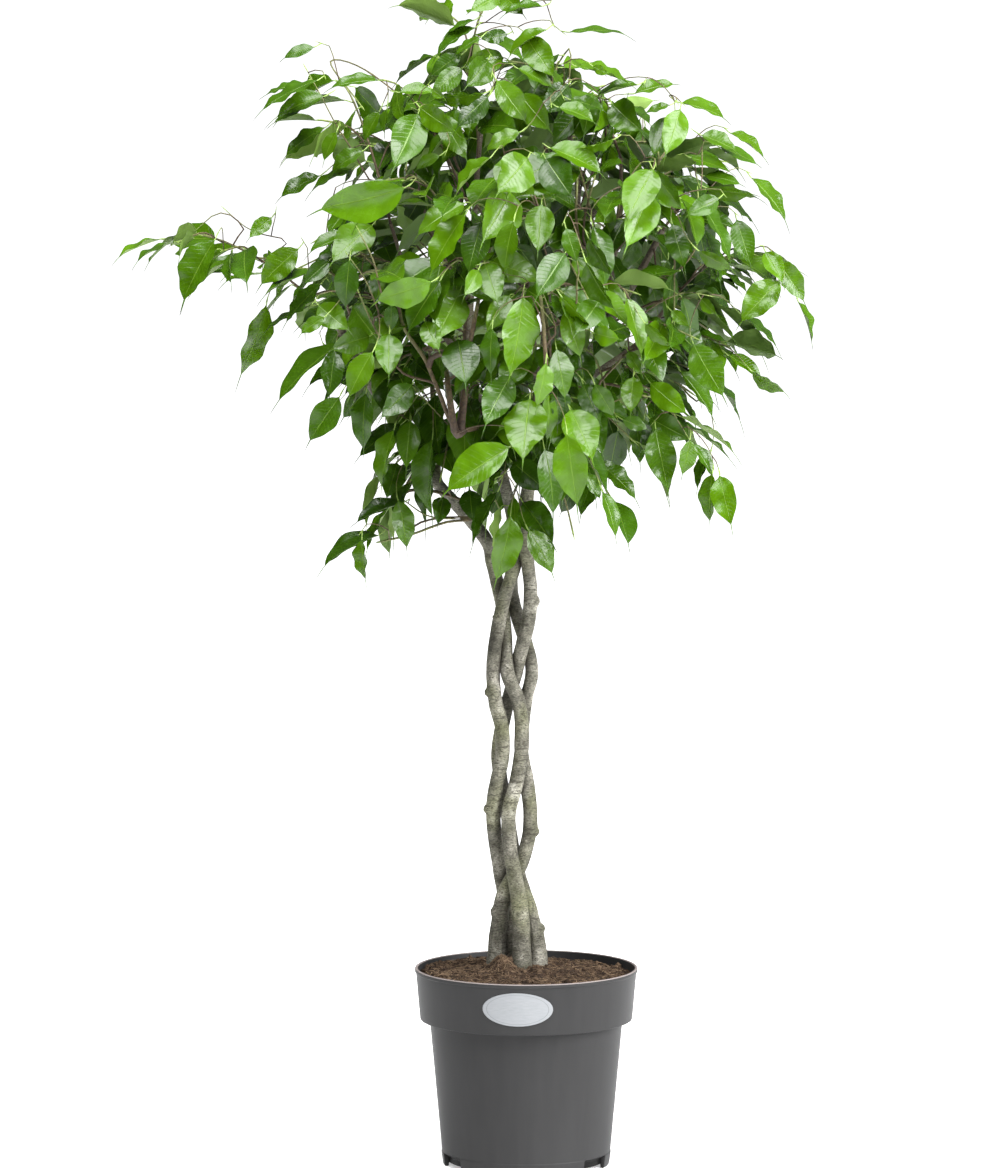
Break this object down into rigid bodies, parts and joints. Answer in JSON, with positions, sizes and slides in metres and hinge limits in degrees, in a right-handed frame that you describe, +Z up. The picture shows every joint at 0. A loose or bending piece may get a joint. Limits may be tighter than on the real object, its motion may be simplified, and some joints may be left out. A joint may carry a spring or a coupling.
{
  "type": "potted weeping fig",
  "caption": "Potted weeping fig: a rounded crown of arching leafy sprays on slim plaited stems, standing in soil in a dark grey nursery pot.",
  "frame": {"origin": "centre of the pot's underside, on the pot's axis, level with the foot that it stands on", "axes": "+Z up along the pot's axis and the plaited trunk, -Y towards the front with the label, +X to the right seen from the front"},
  "size_m": [0.6488, 0.5019, 1.106],
  "materials": {
    "pot_plastic": "dark grey injection-moulded polypropylene, satin",
    "label_film": "silver-white sticker, bare, with a plain border",
    "peat": "moist dark brown potting peat with fibres, matte",
    "bark": "grey-olive smooth young bark with small pale and dark spots",
    "fig_leaf": "thin living leaf, glossy above and paler and duller below"
  },
  "bodies": {
    "root": {"label": "label_film", "pot": "pot_plastic", "soil": "peat", "spray_01": "fig_leaf", "spray_02": "fig_leaf", "spray_03": "fig_leaf", "spray_04": "fig_leaf", "spray_05": "fig_leaf", "spray_06": "fig_leaf", "spray_07": "fig_leaf", "spray_08": "fig_leaf", "spray_09": "fig_leaf", "spray_10": "fig_leaf", "spray_11": "fig_leaf", "spray_12": "fig_leaf", "spray_13": "fig_leaf", "spray_14": "fig_leaf", "spray_15": "fig_leaf", "spray_16": "fig_leaf", "spray_17": "fig_leaf", "spray_18": "fig_leaf", "spray_19": "fig_leaf", "spray_20": "fig_leaf", "spray_21": "fig_leaf", "spray_22": "fig_leaf", "spray_23": "fig_leaf", "spray_24": "fig_leaf", "spray_25": "fig_leaf", "spray_26": "fig_leaf", "spray_27": "fig_leaf", "spray_28": "fig_leaf", "spray_29": "fig_leaf", "spray_30": "fig_leaf", "spray_31": "fig_leaf", "spray_32": "fig_leaf", "spray_33": "fig_leaf", "spray_34": "fig_leaf", "spray_35": "fig_leaf", "spray_36": "fig_leaf", "spray_37": "fig_leaf", "spray_38": "fig_leaf", "spray_39": "fig_leaf", "spray_40": "fig_leaf", "spray_41": "fig_leaf", "spray_42": "fig_leaf", "spray_43": "fig_leaf", "spray_44": "fig_leaf", "spray_45": "fig_leaf", "spray_46": "fig_leaf", "spray_47": "fig_leaf", "spray_48": "fig_leaf", "stem_a": "bark", "stem_b": "bark", "stem_c": "bark", "stem_d": "bark"}
  },
  "joints": []
}
